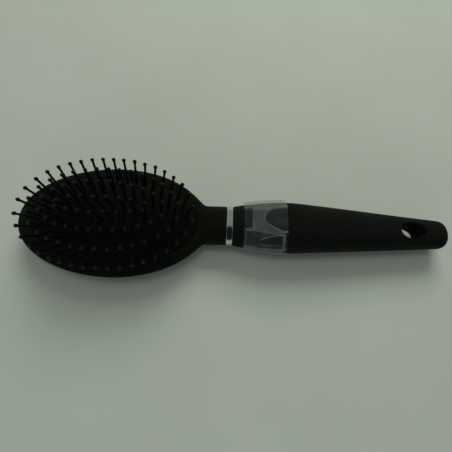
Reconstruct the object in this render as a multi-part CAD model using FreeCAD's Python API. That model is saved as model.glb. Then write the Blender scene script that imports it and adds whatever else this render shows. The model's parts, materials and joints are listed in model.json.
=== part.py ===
import FreeCAD, Part
import math
import os

# Oval hair brush with an air cushion, lying on its back with its pins up. Millimetres.
# X runs along the brush, from the head at -X to the handle at +X. Y runs across it. Z points up.
# The origin is on the ground, half way along the overall length.

# Overall
TOTAL_LENGTH = 246.0
TIP_X = -TOTAL_LENGTH / 2
TAIL_X = TOTAL_LENGTH / 2

# Head shell: an oval paddle that narrows into a neck
HEAD_REACH_FRONT = 55.0       # from the widest station to the tip
HEAD_REACH_BACK = 52.0        # from the widest station to where the oval alone would close
HEAD_HALF_WIDTH = 32.3
HEAD_X = TIP_X + HEAD_REACH_FRONT
HEAD_WIDEST_Z = 12.3
RIM_Z = 15.0
HEAD_DEPTH = 12.55            # from the widest level down to the back, before the flat is cut
NECK_HALF_WIDTH = 11.4
NECK_HALF_THICKNESS = 8.8
NECK_Z = 10.9
NECK_BLEND_POWER = 5.0        # higher makes a tighter corner between oval and neck
# exponents of the section: 2 is an ellipse, and higher is squarer
HEAD_TOP_POWER = 4.0
HEAD_BACK_POWER = 2.3
NECK_POWER = 2.0
# where each trait of the head turns into the neck's, as a start and an end along X
NECK_WIDTH_BLEND = (HEAD_X, HEAD_X + 28)
NECK_DEPTH_BLEND = (HEAD_X, HEAD_X + 45)
MIDDLE_Z_BLEND = (-45, -12)
NECK_TOP_BLEND = (-27, -8)
TOP_POWER_BLEND = (-34, -12)
BACK_POWER_BLEND = (-50, -12)
# stations of the loft: degrees round the oval from the tip to the widest place, then X
HEAD_FRONT_DEGREES = (3, 7, 12, 18, 26, 36, 48, 62, 76, 90)
HEAD_BACK_STATIONS = (-58, -49, -41, -34, -29, -25, -21.5, -18.5, -16, -13, -9.5)

# Chrome ring
FERRULE_START_X = -4.75
FERRULE_LENGTH = 3.7
FERRULE_PROUD = 0.15
FERRULE_WALL = 2.2
FERRULE_PROFILE = [
    # share of the ring's length, and how far the ring stands out from the neck there
    (0.0, -0.15),
    (0.1, 0.08),
    (0.5, FERRULE_PROUD),
    (0.9, 0.08),
    (1.0, -0.15),
]
HANDLE_START_X = FERRULE_START_X + FERRULE_LENGTH

# Tang of the head shell, and its socket in the handle core
TANG_LENGTH = 36.0
TANG_WIDTH = 13.0
TANG_THICKNESS = 9.0
TANG_FILLET = 2.0
SOCKET_CLEARANCE = 0.1

# Air cushion
CUSHION_HALF_LENGTH = 46.3
CUSHION_HALF_WIDTH = 25.3
CUSHION_CROWN = 9.5
CUSHION_WALL = 1.6
CUSHION_STRETCH = CUSHION_HALF_LENGTH / CUSHION_HALF_WIDTH
CUSHION_RADIUS = (CUSHION_HALF_WIDTH ** 2 + CUSHION_CROWN ** 2) / (2 * CUSHION_CROWN)
CUSHION_CENTRE_Z = RIM_Z + CUSHION_CROWN - CUSHION_RADIUS
MOUTH_CLEARANCE = 0.2
FLANGE_TOP_Z = 12.5
FLANGE_THICKNESS = 1.4
FLANGE_REACH = 1.3
VENT_RADIUS = 0.75

# Air chamber in the head shell, under the cushion
CHAMBER_HALF_LENGTH = 44.5
CHAMBER_HALF_WIDTH = 23.5
CHAMBER_MIDDLE_Z = 12.1
CHAMBER_DEPTH = 9.2
HOLLOW_OVERLAP = 0.5          # how far neighbouring hollows run into each other before they join

# Pins, in concentric oval rings from the outermost to the innermost
OUTER_RING_HALF_LENGTH = 40.5
OUTER_RING_HALF_WIDTH = 21.9
RING_SPACING = 6.28
RINGS = [
    # node name, number of pins, number of groups
    ("pins_outer", 38, 8),
    ("pins_second", 30, 6),
    ("pins_third", 24, 6),
    ("pins_inner", 16, 4),
]
PIN_LENGTH = 15.0             # from the cushion's outer face to the end of the ball
PIN_BASE_RADIUS = 0.78
PIN_NECK_RADIUS = 0.62
PIN_BALL_RADIUS = 1.12
PIN_FOOT_RADIUS = 1.2
PIN_FOOT_THICKNESS = 0.8
PIN_HOLE_CLEARANCE = 0.05
FOOT_GAP = 0.12

# Handle: half width, underside height and top height at stations along X
HANDLE_STATIONS = [
    (HANDLE_START_X, 11.4, 2.1, 19.7),
    (6.0, 12.6, 1.25, 21.05),
    (18.0, 14.1, 0.65, 22.45),
    (31.0, 14.75, 0.45, 23.05),
    (46.0, 13.8, 0.6, 22.6),
    (62.0, 12.6, 1.0, 21.4),
    (78.0, 11.4, 1.55, 19.95),
    (95.0, 10.1, 2.15, 18.45),
    (108.0, 9.1, 2.6, 17.5),
    (TAIL_X, 7.95, 3.1, 16.5),
]
HANDLE_SECTION_POWER = 2.2
TAIL_ROUNDING_LENGTH = 5.5
TAIL_ROUNDING_POWER = 2.8
HANDLE_LOFT_STATIONS = (1, 4, 9, 15, 22, 30, 38, 48, 60, 72, 84, 96, 106)
TAIL_DEGREES = (26, 44, 58, 70, 79, 86)
SLEEVE_WALL = 1.6

# Hang hole
HANG_HOLE_X = 100.8
HANG_HOLE_HALF_LENGTH = 7.25
HANG_HOLE_HALF_WIDTH = 4.6
HANG_HOLE_CUT_LOW_Z = -10.0
HANG_HOLE_CUT_HIGH_Z = 40.0

# Clear film wrapped round the grip
FILM_START_X = 5.0
FILM_END_X = 29.4
FILM_WALL = 0.25
FILM_GAP = 0.08
FILM_SPANS = 5
FILM_FLATS = [
    # the way each flat faces at the film's start and at its end, in degrees from +Y towards +Z
    (30, 34),
    (82, 90),
    (127, 135),
    (173, 172),
    (217, 213),
    (270, 270),
    (326, 324),
]

SECTION_POINTS = 32


def smoothstep(x, low, high):
    """0 below low, 1 above high, and a smooth step between."""
    t = min(max((x - low) / (high - low), 0.0), 1.0)
    return t * t * (3 - 2 * t)


def superellipse_fall(u, power):
    """Height of a unit superellipse at distance u from its middle."""
    return max(1.0 - abs(u) ** power, 0.0) ** (1.0 / power)


def section_wire(x, half_width, mid_z, up, down, power_up, power_down):
    """Closed smooth section at station x, with its own upper and lower halves."""
    points = []
    for i in range(SECTION_POINTS):
        angle = 2 * math.pi * i / SECTION_POINTS
        c = math.cos(angle)
        s = math.sin(angle)
        power = power_up if s >= 0 else power_down
        reach = up if s >= 0 else down
        y = math.copysign(half_width * abs(c) ** (2 / power), c)
        z = mid_z + math.copysign(reach * abs(s) ** (2 / power), s)
        points.append(FreeCAD.Vector(x, y, z))
    curve = Part.BSplineCurve()
    curve.interpolate(Points=points, PeriodicFlag=True)
    return Part.Wire([curve.toShape()])


def oval_prism(x, half_length, half_width, low_z, high_z):
    """Upright elliptical prism centred on station x."""
    long_way = FreeCAD.Vector(x + half_length, 0, low_z)
    short_way = FreeCAD.Vector(x, half_width, low_z)
    outline = Part.Ellipse(long_way, short_way, FreeCAD.Vector(x, 0, low_z))
    face = Part.Face(Part.Wire([outline.toShape()]))
    return face.extrude(FreeCAD.Vector(0, 0, high_z - low_z))


def stretched_sphere(radius, centre_z, stretch_x, stretch_z=1.0):
    """Ellipsoid centred over the head: a sphere stretched along X and Z, its poles along X."""
    sphere = Part.makeSphere(radius, FreeCAD.Vector(0, 0, 0), FreeCAD.Vector(1, 0, 0))
    stretch = FreeCAD.Matrix()
    stretch.scale(FreeCAD.Vector(stretch_x, 1.0, stretch_z))
    body = sphere.transformGeometry(stretch)
    body.translate(FreeCAD.Vector(HEAD_X, 0, centre_z))
    return body


def slab(low_z, high_z):
    """A slab wider than the brush, used to keep what lies between two levels."""
    size = 2 * TOTAL_LENGTH
    corner = FreeCAD.Vector(-size / 2, -size / 2, low_z)
    return Part.makeBox(size, size, high_z - low_z, corner)


# Head shell

def head_half_width(x):
    reach = HEAD_REACH_FRONT if x < HEAD_X else HEAD_REACH_BACK
    oval = HEAD_HALF_WIDTH * superellipse_fall((x - HEAD_X) / reach, NECK_POWER)
    neck = NECK_HALF_WIDTH * smoothstep(x, *NECK_WIDTH_BLEND)
    return (oval ** NECK_BLEND_POWER + neck ** NECK_BLEND_POWER) ** (1 / NECK_BLEND_POWER)


def head_section(x):
    """Section of head and neck: flat-topped and shallow at the oval, elliptical at the neck."""
    u = (x - HEAD_X) / (HEAD_REACH_FRONT if x < HEAD_X else HEAD_REACH_BACK)
    bowl = HEAD_DEPTH * superellipse_fall(min(abs(u), 1.0), HEAD_BACK_POWER)
    neck = NECK_HALF_THICKNESS * smoothstep(x, *NECK_DEPTH_BLEND)
    down = (bowl ** NECK_BLEND_POWER + neck ** NECK_BLEND_POWER) ** (1 / NECK_BLEND_POWER)
    mid_z = HEAD_WIDEST_Z + (NECK_Z - HEAD_WIDEST_Z) * smoothstep(x, *MIDDLE_Z_BLEND)
    rim_up = RIM_Z - HEAD_WIDEST_Z
    if x < HEAD_X:
        rim_up = rim_up * superellipse_fall(u, HEAD_TOP_POWER)
    up = rim_up + (NECK_HALF_THICKNESS - rim_up) * smoothstep(x, *NECK_TOP_BLEND)
    power_up = HEAD_TOP_POWER + (NECK_POWER - HEAD_TOP_POWER) * smoothstep(x, *TOP_POWER_BLEND)
    power_down = HEAD_BACK_POWER + (NECK_POWER - HEAD_BACK_POWER) * smoothstep(x, *BACK_POWER_BLEND)
    return section_wire(x, head_half_width(x), mid_z, up, down, power_up, power_down)


def make_head_shell():
    """Paddle and neck in one piece, hollow under the cushion, with a spigot and a tang."""
    wires = []
    for degrees in HEAD_FRONT_DEGREES:
        wires.append(head_section(HEAD_X - HEAD_REACH_FRONT * math.cos(math.radians(degrees))))
    for x in (*HEAD_BACK_STATIONS, FERRULE_START_X):
        wires.append(head_section(x))
    shell = Part.makeLoft(wires, True, False)
    shell = shell.common(slab(0.0, 2 * RIM_Z))

    mouth_a = CUSHION_HALF_LENGTH + MOUTH_CLEARANCE
    mouth_b = CUSHION_HALF_WIDTH + MOUTH_CLEARANCE
    groove_low = FLANGE_TOP_Z - FLANGE_THICKNESS
    mouth = oval_prism(HEAD_X, mouth_a, mouth_b, FLANGE_TOP_Z - HOLLOW_OVERLAP, 2 * RIM_Z)
    groove = oval_prism(HEAD_X, mouth_a + FLANGE_REACH, mouth_b + FLANGE_REACH, groove_low, FLANGE_TOP_Z)
    stretch_x = CHAMBER_HALF_LENGTH / CHAMBER_HALF_WIDTH
    stretch_z = CHAMBER_DEPTH / CHAMBER_HALF_WIDTH
    chamber = stretched_sphere(CHAMBER_HALF_WIDTH, CHAMBER_MIDDLE_Z, stretch_x, stretch_z)
    chamber = chamber.common(slab(0.0, groove_low + HOLLOW_OVERLAP))
    shell = shell.cut(mouth.fuse([groove, chamber]))

    # The spigot carries the chrome ring, and the tang goes on into the handle core.
    spigot = section_prism(NECK_HALF_WIDTH - FERRULE_WALL, NECK_HALF_THICKNESS - FERRULE_WALL,
                           FERRULE_START_X - 1.0, HANDLE_START_X)
    tang = tang_block(0.0, HANDLE_START_X + TANG_LENGTH)
    return shell.fuse([spigot, tang]).removeSplitter()


def section_prism(half_width, half_thickness, start_x, end_x):
    """Elliptical prism along X, centred on the neck's axis."""
    centre = FreeCAD.Vector(start_x, 0, NECK_Z)
    wide = FreeCAD.Vector(start_x, half_width, NECK_Z)
    high = FreeCAD.Vector(start_x, 0, NECK_Z + half_thickness)
    outline = Part.Ellipse(wide, high, centre)
    face = Part.Face(Part.Wire([outline.toShape()]))
    return face.extrude(FreeCAD.Vector(end_x - start_x, 0, 0))


def tang_block(clearance, end_x):
    """Rounded bar on the neck's axis, from the neck to end_x, grown by a clearance."""
    start_x = FERRULE_START_X - 1.0
    width = TANG_WIDTH + 2 * clearance
    thickness = TANG_THICKNESS + 2 * clearance
    corner = FreeCAD.Vector(start_x, -width / 2, NECK_Z - thickness / 2)
    block = Part.makeBox(end_x + clearance - start_x, width, thickness, corner)
    long_edges = []
    for edge in block.Edges:
        along = edge.Vertexes[1].Point - edge.Vertexes[0].Point
        if abs(along.x) > 1.0:
            long_edges.append(edge)
    return block.makeFillet(TANG_FILLET, long_edges)


# Chrome ring

def make_ferrule():
    """Ring with a slightly crowned outside, between neck and handle."""
    wires = []
    for share, proud in FERRULE_PROFILE:
        x = FERRULE_START_X + FERRULE_LENGTH * share
        half_thickness = NECK_HALF_THICKNESS + proud
        wires.append(section_wire(x, NECK_HALF_WIDTH + proud, NECK_Z, half_thickness, half_thickness,
                                  NECK_POWER, NECK_POWER))
    ring = Part.makeLoft(wires, True, False)
    bore = section_prism(NECK_HALF_WIDTH - FERRULE_WALL, NECK_HALF_THICKNESS - FERRULE_WALL,
                         FERRULE_START_X - 1.0, HANDLE_START_X + 1.0)
    return ring.cut(bore)


# Cushion and pins

def make_cushion_pad(pins):
    """Domed rubber membrane with a skirt and a flange, pierced by every pin and by a vent."""
    outer = stretched_sphere(CUSHION_RADIUS, CUSHION_CENTRE_Z, CUSHION_STRETCH)
    inner = stretched_sphere(CUSHION_RADIUS - CUSHION_WALL, CUSHION_CENTRE_Z, CUSHION_STRETCH)
    dome = outer.cut(inner).common(slab(RIM_Z, 2 * TOTAL_LENGTH))

    drop = RIM_Z - CUSHION_CENTRE_Z
    skirt_inner = math.sqrt((CUSHION_RADIUS - CUSHION_WALL) ** 2 - drop ** 2)
    flange_low = FLANGE_TOP_Z - FLANGE_THICKNESS
    skirt = oval_prism(HEAD_X, CUSHION_HALF_LENGTH, CUSHION_HALF_WIDTH, flange_low, RIM_Z)
    flange = oval_prism(HEAD_X, CUSHION_HALF_LENGTH + FLANGE_REACH, CUSHION_HALF_WIDTH + FLANGE_REACH,
                        flange_low, FLANGE_TOP_Z)
    hollow = oval_prism(HEAD_X, skirt_inner * CUSHION_STRETCH, skirt_inner, flange_low - 1, RIM_Z)
    rim = skirt.fuse(flange).cut(hollow)
    pad = dome.fuse(rim).removeSplitter()

    vent_start = FreeCAD.Vector(HEAD_X, 0, RIM_Z + CUSHION_CROWN - 2 * CUSHION_WALL)
    pad = pad.cut(Part.makeCylinder(VENT_RADIUS, 4 * CUSHION_WALL, vent_start))
    for base, direction, wall in pins:
        start = base - direction * (2 * wall)
        hole = Part.makeCylinder(PIN_BASE_RADIUS + PIN_HOLE_CLEARANCE, 4 * wall, start, direction)
        pad = pad.cut(hole)
    return pad


def pin_places(half_length, half_width, count):
    """Evenly spaced pins on an oval ring: base point, direction and wall thickness there."""
    steps = 720
    outline = []
    for i in range(steps + 1):
        angle = 2 * math.pi * i / steps
        outline.append((half_length * math.cos(angle), half_width * math.sin(angle)))
    lengths = [0.0]
    for i in range(steps):
        lengths.append(lengths[-1] + math.dist(outline[i], outline[i + 1]))

    places = []
    for i in range(count):
        wanted = lengths[-1] * (i + 0.5) / count
        k = next(j for j in range(steps) if lengths[j + 1] >= wanted)
        share = (wanted - lengths[k]) / (lengths[k + 1] - lengths[k])
        x = outline[k][0] + share * (outline[k + 1][0] - outline[k][0])
        y = outline[k][1] + share * (outline[k + 1][1] - outline[k][1])
        places.append(dome_place(x, y))
    return places


def dome_place(x, y):
    """Point, outward normal and wall thickness of the dome at an offset from the head's middle."""
    squeezed = x / CUSHION_STRETCH
    rise = math.sqrt(CUSHION_RADIUS ** 2 - squeezed ** 2 - y ** 2)
    base = FreeCAD.Vector(HEAD_X + x, y, CUSHION_CENTRE_Z + rise)
    normal = FreeCAD.Vector(squeezed / CUSHION_STRETCH, y, rise)
    wall = CUSHION_WALL * CUSHION_RADIUS / normal.Length
    return base, normal.normalize(), wall


def make_pin(base, direction, wall):
    """One pin turned about its axis: foot under the membrane, tapered stem and ball tip."""
    foot_top = -(wall + FOOT_GAP)
    foot_low = foot_top - PIN_FOOT_THICKNESS
    ball_z = PIN_LENGTH - PIN_BALL_RADIUS
    ball_start = ball_z - math.sqrt(PIN_BALL_RADIUS ** 2 - PIN_NECK_RADIUS ** 2)
    corners = [
        FreeCAD.Vector(0, 0, foot_low),
        FreeCAD.Vector(PIN_FOOT_RADIUS, 0, foot_low),
        FreeCAD.Vector(PIN_FOOT_RADIUS, 0, foot_top),
        FreeCAD.Vector(PIN_BASE_RADIUS, 0, foot_top),
        FreeCAD.Vector(PIN_BASE_RADIUS, 0, 0),
        FreeCAD.Vector(PIN_NECK_RADIUS, 0, ball_start),
    ]
    tip = FreeCAD.Vector(0, 0, PIN_LENGTH)
    bulge = FreeCAD.Vector(PIN_BALL_RADIUS, 0, ball_z)
    edges = []
    for start, end in zip(corners, corners[1:]):
        edges.append(Part.LineSegment(start, end).toShape())
    edges.append(Part.Arc(corners[-1], bulge, tip).toShape())
    edges.append(Part.LineSegment(tip, corners[0]).toShape())
    face = Part.Face(Part.Wire(edges))
    pin = face.revolve(FreeCAD.Vector(0, 0, 0), FreeCAD.Vector(0, 0, 1), 360)
    turn = FreeCAD.Rotation(FreeCAD.Vector(0, 0, 1), direction)
    pin.Placement = FreeCAD.Placement(base, turn)
    return pin


def ring_groups(places, groups):
    """Split a ring's pins into runs of neighbours of nearly equal length."""
    count = len(places)
    cuts = [(count * g) // groups for g in range(groups + 1)]
    return [places[low:high] for low, high in zip(cuts, cuts[1:])]


# Handle

def handle_at(x):
    """Half width, underside and top of the handle at station x, on smooth curves."""
    stations = [row[0] for row in HANDLE_STATIONS]
    values = []
    for column in (1, 2, 3):
        values.append(smooth_value(x, stations, [row[column] for row in HANDLE_STATIONS]))
    return values


def smooth_value(x, stations, values):
    """Cubic Hermite value at x through the stations, with slopes from the neighbours."""
    k = 0
    while k < len(stations) - 2 and x > stations[k + 1]:
        k += 1
    slopes = []
    for i in (k, k + 1):
        low = max(i - 1, 0)
        high = min(i + 1, len(stations) - 1)
        slopes.append((values[high] - values[low]) / (stations[high] - stations[low]))
    span = stations[k + 1] - stations[k]
    t = (x - stations[k]) / span
    start_part = (1 + 2 * t) * (1 - t) ** 2 * values[k] + t * (1 - t) ** 2 * span * slopes[0]
    end_part = t * t * (3 - 2 * t) * values[k + 1] + t * t * (t - 1) * span * slopes[1]
    return start_part + end_part


def handle_loft(inset):
    """Handle body, its surface moved inwards by inset, rounded off at the tail."""
    tail_x = TAIL_X - inset
    rounding_x = TAIL_X - TAIL_ROUNDING_LENGTH
    stations = [HANDLE_START_X, *HANDLE_LOFT_STATIONS, rounding_x]
    for degrees in TAIL_DEGREES:
        stations.append(rounding_x + (tail_x - rounding_x) * math.sin(math.radians(degrees)))
    wires = []
    for x in stations:
        half_width, low, high = handle_at(x)
        fall = superellipse_fall(max(x - rounding_x, 0.0) / (tail_x - rounding_x), TAIL_ROUNDING_POWER)
        half_thickness = (high - low) / 2
        wires.append(section_wire(x, (half_width - inset) * fall, (low + high) / 2,
                                  (half_thickness - inset) * fall, (half_thickness - inset) * fall,
                                  HANDLE_SECTION_POWER, HANDLE_SECTION_POWER))
    return Part.makeLoft(wires, True, False)


def hang_hole(grow):
    """Oval prism through the tail, grown by a margin."""
    return oval_prism(HANG_HOLE_X, HANG_HOLE_HALF_LENGTH + grow, HANG_HOLE_HALF_WIDTH + grow,
                      HANG_HOLE_CUT_LOW_Z, HANG_HOLE_CUT_HIGH_Z)


def make_grip():
    """Rigid core with the tang's socket, and the soft sleeve that covers it and lines the hang hole."""
    core_filled = handle_loft(SLEEVE_WALL).cut(hang_hole(SLEEVE_WALL))
    sleeve = handle_loft(0.0).cut(core_filled).cut(hang_hole(0.0))
    socket = tang_block(SOCKET_CLEARANCE, HANDLE_START_X + TANG_LENGTH)
    return core_filled.cut(socket), sleeve


# Clear film

def tangent_distance(half_width, half_thickness, angle):
    """Distance from the middle of a handle section to its tangent line that faces the angle."""
    dual = HANDLE_SECTION_POWER / (HANDLE_SECTION_POWER - 1)
    across = abs(half_width * math.cos(angle)) ** dual
    upright = abs(half_thickness * math.sin(angle)) ** dual
    return (across + upright) ** (1 / dual)


def film_ring(x, offset):
    """Wire of straight flats that touch the grip's section at station x, moved out by an offset."""
    half_width, low, high = handle_at(x)
    share = (x - FILM_START_X) / (FILM_END_X - FILM_START_X)
    flats = []
    for start, end in FILM_FLATS:
        angle = math.radians(start + (end - start) * share)
        flats.append((angle, tangent_distance(half_width, (high - low) / 2, angle) + offset))
    points = []
    for i, (angle, distance) in enumerate(flats):
        last_angle, last_distance = flats[i - 1]
        turn = math.sin(angle - last_angle)
        y = (last_distance * math.sin(angle) - distance * math.sin(last_angle)) / turn
        z = (distance * math.cos(last_angle) - last_distance * math.cos(angle)) / turn
        points.append(FreeCAD.Vector(x, y, (low + high) / 2 + z))
    return Part.makePolygon(points + [points[0]])


def make_film_band():
    """Thin band of flats, wrapped tightly round the swell of the grip."""
    spans = range(FILM_SPANS + 1)
    stations = [FILM_START_X + (FILM_END_X - FILM_START_X) * i / FILM_SPANS for i in spans]
    outer = Part.makeLoft([film_ring(x, FILM_GAP + FILM_WALL) for x in stations], True, True)
    inner = Part.makeLoft([film_ring(x, FILM_GAP) for x in stations], True, True)
    return outer.cut(inner)


def export(name, shape):
    if not shape.isValid():
        print("NOT VALID", name)
    shape.exportStep("parts/" + name + ".step")
    print(name, "solids", len(shape.Solids), "volume", round(shape.Volume, 1))


def main():
    os.makedirs("parts", exist_ok=True)
    every_pin = []
    for ring, (name, count, groups) in enumerate(RINGS):
        half_length = OUTER_RING_HALF_LENGTH - ring * RING_SPACING
        half_width = OUTER_RING_HALF_WIDTH - ring * RING_SPACING
        places = pin_places(half_length, half_width, count)
        every_pin.extend(places)
        for number, group in enumerate(ring_groups(places, groups), start=1):
            pins = [make_pin(*place) for place in group]
            export(name + "_" + str(number), Part.makeCompound(pins))
    export("cushion_pad", make_cushion_pad(every_pin))
    export("head_shell", make_head_shell())
    export("ferrule", make_ferrule())
    core, sleeve = make_grip()
    export("grip_core", core)
    export("grip_sleeve", sleeve)
    export("clear_film_band", make_film_band())


main()
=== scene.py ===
import json
import math
import random

import bmesh
import bpy
import numpy as np
from mathutils import Matrix, Vector, noise


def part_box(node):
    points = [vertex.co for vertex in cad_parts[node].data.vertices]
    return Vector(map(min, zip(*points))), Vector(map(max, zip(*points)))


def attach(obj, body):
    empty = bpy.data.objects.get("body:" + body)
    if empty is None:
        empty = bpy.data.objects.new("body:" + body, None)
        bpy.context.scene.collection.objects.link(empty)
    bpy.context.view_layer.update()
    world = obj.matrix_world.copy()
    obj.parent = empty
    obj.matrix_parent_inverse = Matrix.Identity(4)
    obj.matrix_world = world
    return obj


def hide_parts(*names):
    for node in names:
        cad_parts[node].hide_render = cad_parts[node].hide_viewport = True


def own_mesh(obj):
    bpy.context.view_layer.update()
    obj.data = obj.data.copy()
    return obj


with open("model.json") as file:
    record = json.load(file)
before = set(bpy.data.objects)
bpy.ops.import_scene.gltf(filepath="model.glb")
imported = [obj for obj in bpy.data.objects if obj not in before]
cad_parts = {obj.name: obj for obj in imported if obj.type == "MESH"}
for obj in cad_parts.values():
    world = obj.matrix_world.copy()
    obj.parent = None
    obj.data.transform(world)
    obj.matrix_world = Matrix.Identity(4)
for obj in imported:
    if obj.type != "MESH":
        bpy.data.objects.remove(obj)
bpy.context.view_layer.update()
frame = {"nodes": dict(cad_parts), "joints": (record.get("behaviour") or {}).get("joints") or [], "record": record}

# Oval cushion hair brush, lying on its back. Lengths are in millimetres and scaled to metres when a
# mesh is made. X runs from head to handle, Y across, Z up through the pins.
MM = 0.001


def box_mm(node):
    """Lowest and highest corner of a CAD node, in millimetres."""
    low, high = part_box(node)
    return low / MM, high / MM


def mount_mm(name):
    """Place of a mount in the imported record, in millimetres."""
    mount = next(m for m in frame["record"]["mounts"] if m["name"] == name)
    return Vector(mount["pos_m"]) / MM


# Sizes read from the frame
HEAD_LOW, HEAD_HIGH = box_mm("head_shell")
PAD_LOW, PAD_HIGH = box_mm("cushion_pad")
FERRULE_LOW, FERRULE_HIGH = box_mm("ferrule")
GRIP_HIGH = box_mm("grip_sleeve")[1]
FILM_LOW, FILM_HIGH = box_mm("clear_film_band")
PRESS = frame["joints"][0]
RIM_Z = PRESS["deforming_nodes"][0]["fixed_end_z_m"] / MM
HANG_HOLE_X = mount_mm("hang_hole").x

# Head shell
TIP_X = HEAD_LOW.x
HEAD_X = (PAD_LOW.x + PAD_HIGH.x) / 2
HEAD_REACH_FRONT = HEAD_X - TIP_X
HEAD_REACH_BACK = 52.0
HEAD_HALF_WIDTH = HEAD_HIGH.y
HEAD_WIDEST_Z = 12.3
HEAD_DEPTH = 12.55
FERRULE_PROUD = 0.15
NECK_HALF_WIDTH = FERRULE_HIGH.y - FERRULE_PROUD
NECK_HALF_THICKNESS = (FERRULE_HIGH.z - FERRULE_LOW.z) / 2 - FERRULE_PROUD
NECK_Z = (FERRULE_HIGH.z + FERRULE_LOW.z) / 2
NECK_BLEND_POWER = 5.0        # higher makes a tighter corner between oval and neck
SHELL_END_FILLET = 0.35
TANG_HALF_WIDTH = 6.5
TANG_HALF_THICKNESS = 4.5
TANG_CHAMFER_LENGTH = 1.0
TANG_END_SHARE = 0.85
# exponents of outlines and sections: 2 is an ellipse, and higher is squarer
ELLIPSE = 2.0
HEAD_TOP_POWER = 4.0
HEAD_BACK_POWER = 2.3
TANG_POWER = 6.0
# where each trait of the head turns into the neck's, as a start and an end along X
NECK_WIDTH_BLEND = (HEAD_X, HEAD_X + 28)
NECK_DEPTH_BLEND = (HEAD_X, HEAD_X + 45)
MIDDLE_Z_BLEND = (-45, -12)
NECK_TOP_BLEND = (-27, -8)
TOP_POWER_BLEND = (-34, -12)
BACK_POWER_BLEND = (-50, -12)

# Hollows in the head
MOUTH_CLEARANCE = 0.12
MOUTH_FILLET = 0.4
CHAMBER_HALF_LENGTH = 44.5
CHAMBER_HALF_WIDTH = 23.5
CHAMBER_DEPTH = 8.2           # below the cushion's flange

# Cushion
FLANGE_REACH = 1.3
FLANGE_THICKNESS = 1.4
PAD_HALF_LENGTH = (PAD_HIGH.x - PAD_LOW.x) / 2 - FLANGE_REACH
PAD_HALF_WIDTH = PAD_HIGH.y - FLANGE_REACH
PAD_CROWN = PAD_HIGH.z - RIM_Z
PAD_WALL = 1.6
PAD_STRETCH = PAD_HALF_LENGTH / PAD_HALF_WIDTH
PAD_RADIUS = (PAD_HALF_WIDTH ** 2 + PAD_CROWN ** 2) / (2 * PAD_CROWN)
PAD_CENTRE_Z = PAD_HIGH.z - PAD_RADIUS
SKIRT_WALL = 2.2
EDGE_INSET = 0.75             # how far in from the skirt the dome starts to roll over
EDGE_PROFILE = [
    # inset from the skirt, and drop below the end of the dome
    (0.45, 0.22),
    (0.22, 0.5),
    (0.06, 0.9),
    (0.0, 1.4),
]
VENT_RADIUS = 0.75
VENT_EDGE = 0.15              # width and
VENT_EDGE_DROP = 0.25         # depth of the vent's rounded edge
OVAL_FROM = 7.0               # distance from the middle at which the dome's rings are fully oval
DOME_RIPPLE = 0.07
DOME_RIPPLE_SCALE = 0.16
COLLAR_PROFILE = [
    # radius and height of the flared collar that the rubber makes round a pin
    (2.4, -0.12),
    (2.0, 0.0),
    (1.6, 0.08),
    (1.32, 0.2),
    (1.14, 0.38),
    (1.02, 0.46),
    (0.9, 0.44),
    (0.81, 0.32),
    (0.79, -0.4),
]

# Pins
PIN_LENGTH = 15.0
PIN_BASE_RADIUS = 0.78
PIN_NECK_RADIUS = 0.62
PIN_BALL_RADIUS = 1.12
PIN_FOOT_RADIUS = 1.2
PIN_FOOT_THICKNESS = 0.8
PIN_CAP_RADIUS = 0.02         # of the flat face that closes the foot
PIN_BEVEL = 0.05
PIN_TAPER_POWER = 0.8
PIN_FLARE = 0.07              # how much the stem widens where it meets the ball
PIN_FLARE_LENGTH = 0.25
PIN_BENDS = (0.05, 0.5)       # least and most sideways shift of a pin's tip
BALL_SCALES = (0.9, 0.97)     # least and most size of a moulded ball
PIN_RINGS = {"pins_outer": "outer_ring", "pins_second": "second_ring",
             "pins_third": "third_ring", "pins_inner": "inner_ring"}

# Ferrule and handle
FERRULE_START_X = FERRULE_LOW.x
HANDLE_START_X = FERRULE_HIGH.x
FERRULE_WALL = 2.2
FERRULE_GAP = 0.06
FERRULE_ROLL = 0.35
FERRULE_CROWN = 0.14
TAIL_X = GRIP_HIGH.x
HANDLE_STATIONS = [
    # station x, half width, underside, top
    (HANDLE_START_X, 11.4, 2.1, 19.7),
    (6.0, 12.6, 1.25, 21.05),
    (18.0, 14.1, 0.65, 22.45),
    (31.0, 14.75, 0.45, 23.05),
    (46.0, 13.8, 0.6, 22.6),
    (62.0, 12.6, 1.0, 21.4),
    (78.0, 11.4, 1.55, 19.95),
    (95.0, 10.1, 2.15, 18.45),
    (108.0, 9.1, 2.6, 17.5),
    (TAIL_X, 7.95, 3.1, 16.5),
]
HANDLE_SECTION_POWER = 2.2
TAIL_ROUNDING_LENGTH = 5.5
TAIL_ROUNDING_POWER = 2.8
SLEEVE_WALL = 1.6
SLEEVE_FRONT_FILLET = 0.7
CORE_FRONT_FILLET = 0.2
FILLET_DEPTH_SHARE = 0.9      # depth of a front fillet over its length
HANG_HOLE_HALF_LENGTH = 7.25
HANG_HOLE_HALF_WIDTH = 4.6
HANG_HOLE_FILLET = 0.9
CORE_HOLE_FILLET = 0.3

# Camera: what it looks at, and from how far and which way
CAMERA_TARGET = Vector((-4.9, -0.7, 13.0))
CAMERA_DISTANCE = 165.5
CAMERA_ELEVATION = math.radians(72.8)
CAMERA_AZIMUTH = math.radians(-1.9)
CAMERA_ROLL = math.radians(4.2)
CAMERA_LENS = 23.0

# Light tent
TENT_COLOUR = (0.21, 0.232, 0.232)
DARK_SIDE_COLOUR = (0.008, 0.010, 0.011)
DARK_SIDE = (0.0, -0.70, 0.71)    # direction of its middle
DARK_SIDE_EDGE = (0.68, 0.82)     # cosines of the angles from its middle at which it starts and is full
BACKDROP_COLOUR = (0.26, 0.285, 0.25)


# Curves and meshes

def smoothstep(x, low, high):
    """0 below low, 1 above high, and a smooth step between."""
    t = min(max((x - low) / (high - low), 0.0), 1.0)
    return t * t * (3 - 2 * t)


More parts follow.
